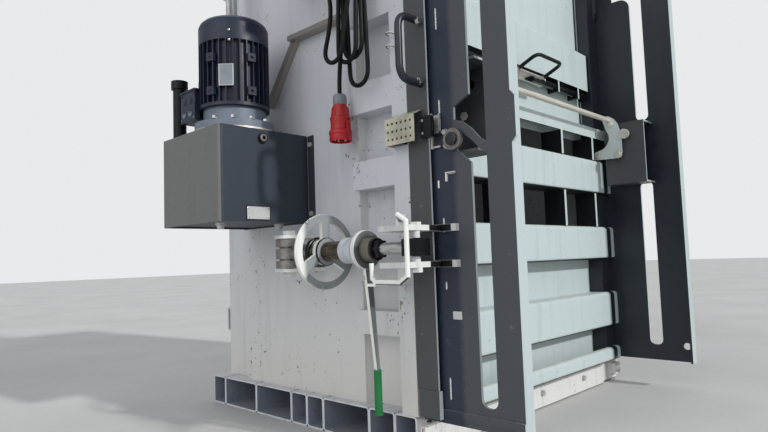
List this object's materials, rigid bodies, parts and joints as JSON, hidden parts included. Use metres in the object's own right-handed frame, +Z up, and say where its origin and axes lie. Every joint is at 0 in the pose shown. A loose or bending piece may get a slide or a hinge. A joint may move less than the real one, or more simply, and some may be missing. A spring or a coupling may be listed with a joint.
{
  "type": "vertical recycling baler",
  "caption": "Upright baling press with a ribbed front door between side wings, a lifting gate, a screw lock with handwheel, and an oil tank with motor on its left wall",
  "frame": {"origin": "Centre of the base tubes' underside, on the floor", "axes": "The door faces -Y, the left wall with the power pack faces -X, and +Z is up"},
  "size_m": [1.58, 1.349, 2.782],
  "materials": {
    "white_paint": "satin, weathered",
    "dark_paint": "satin",
    "light_paint": "satin",
    "zinc": "bright zinc",
    "steel": "worn",
    "black_paint": "gloss",
    "black_plastic": "matt",
    "cord_rubber": "matt",
    "red_plastic": "gloss",
    "green_plastic": "gloss"
  },
  "bodies": {
    "machine": {"base_tubes": "white_paint", "front_sill": "white_paint", "frame_bolts": "zinc", "side_frame_left": "white_paint", "side_frame_right": "white_paint", "chamber_floor": "steel", "rear_wall": "white_paint", "front_tie": "white_paint", "press_crosshead": "white_paint", "press_cylinder": "dark_paint", "oil_tank": "dark_paint", "oil_filler": "black_plastic", "motor_body": "dark_paint", "fan_cover": "dark_paint", "terminal_box": "dark_paint", "hydraulic_pipes": "zinc", "cable_duct": "dark_paint", "control_cabinet": "white_paint", "hinge_brackets": "steel", "clevis_bracket": "white_paint", "spindle_guard": "white_paint", "door_switch": "black_plastic", "switch_guard": "zinc", "cord_hook": "steel", "mains_cord_top": "cord_rubber", "mains_cord_hank": "cord_rubber", "mains_cord_drop": "cord_rubber", "mains_plug": "red_plastic"},
    "rotor": {"motor_rotor": "steel"},
    "ram": {"press_rod": "steel", "press_platen": "dark_paint"},
    "cabinet_lid": {"cabinet_door": "white_paint"},
    "start_key": {"start_button": "green_plastic"},
    "stop_key": {"stop_button": "red_plastic"},
    "switch_knob": {"main_switch": "black_plastic"},
    "plunger": {"switch_plunger": "zinc"},
    "door": {"door_stile_left": "dark_paint", "door_stile_right": "dark_paint", "door_skin": "light_paint", "door_ribs": "light_paint", "door_ledge": "light_paint", "wing_left": "dark_paint", "wing_right": "dark_paint", "bail_brackets": "dark_paint", "door_handle": "black_paint", "lock_lugs": "white_paint", "gate_guides": "dark_paint"},
    "gate": {"gate_panel": "light_paint", "gate_beam": "light_paint"},
    "latch": {"latch_shaft": "black_paint", "latch_handle": "zinc"},
    "bail": {"bail_levers": "dark_paint", "bail_rod": "zinc"},
    "roller": {"wing_roller": "zinc"},
    "lock": {"lock_eye": "steel", "lock_screw": "steel", "trunnion_block": "black_paint"},
    "wheel": {"handwheel": "white_paint"},
    "lever": {"lock_lever": "white_paint", "lever_grip": "green_plastic"}
  },
  "joints": [
    {"name": "door_hinge", "type": "hinge", "parent": "machine", "child": "door", "pos_m": [0.642, -0.552, 0.82], "axis": [0, 0, 1], "range_deg": [0, 120]},
    {"name": "gate_slide", "type": "slide", "parent": "door", "child": "gate", "axis": [0, 0, 1], "range_m": [0, 0.45]},
    {"name": "latch_turn", "type": "hinge", "parent": "gate", "child": "latch", "pos_m": [0, -0.498, 1.148], "axis": [1, 0, 0], "range_deg": [0, 60]},
    {"name": "bail_swing", "type": "hinge", "parent": "door", "child": "bail", "pos_m": [0, -0.628, 0.893], "axis": [1, 0, 0], "range_deg": [0, 35]},
    {"name": "roller_spin", "type": "hinge", "parent": "door", "child": "roller", "pos_m": [-0.614, -0.662, 0.813], "axis": [1, 0, 0], "continuous": true},
    {"name": "platen_slide", "type": "slide", "parent": "machine", "child": "ram", "axis": [0, 0, -1], "range_m": [0, 0.83]},
    {"name": "motor_spin", "type": "hinge", "parent": "machine", "child": "rotor", "pos_m": [-0.775, 0.09, 1.24], "axis": [0, 0, 1], "continuous": true},
    {"name": "cabinet_hinge", "type": "hinge", "parent": "machine", "child": "cabinet_lid", "pos_m": [-0.756, -0.058, 1.62], "axis": [0, 0, -1], "range_deg": [0, 110]},
    {"name": "start_push", "type": "slide", "parent": "cabinet_lid", "child": "start_key", "axis": [1, 0, 0], "range_m": [0, 0.004], "stiffness_N_per_m": 400},
    {"name": "stop_push", "type": "slide", "parent": "cabinet_lid", "child": "stop_key", "axis": [1, 0, 0], "range_m": [0, 0.005], "stiffness_N_per_m": 500},
    {"name": "main_switch_turn", "type": "hinge", "parent": "cabinet_lid", "child": "switch_knob", "pos_m": [-0.76, -0.21, 1.72], "axis": [1, 0, 0], "range_deg": [0, 90]},
    {"name": "door_switch_push", "type": "slide", "parent": "machine", "child": "plunger", "axis": [0, 1, 0], "range_m": [0, 0.004], "stiffness_N_per_m": 300},
    {"name": "lock_swing", "type": "hinge", "parent": "machine", "child": "lock", "pos_m": [-0.704, -0.089, 0.542], "axis": [0, 0, -1], "range_deg": [-1, 3]},
    {"name": "handwheel_turn", "type": "hinge", "parent": "lock", "child": "wheel", "pos_m": [-0.704, -0.258, 0.542], "axis": [0, 1, 0], "continuous": true},
    {"name": "lever_swing", "type": "hinge", "parent": "lock", "child": "lever", "pos_m": [-0.704, -0.44, 0.542], "axis": [0, 1, 0], "range_deg": [-3, 120]}
  ]
}
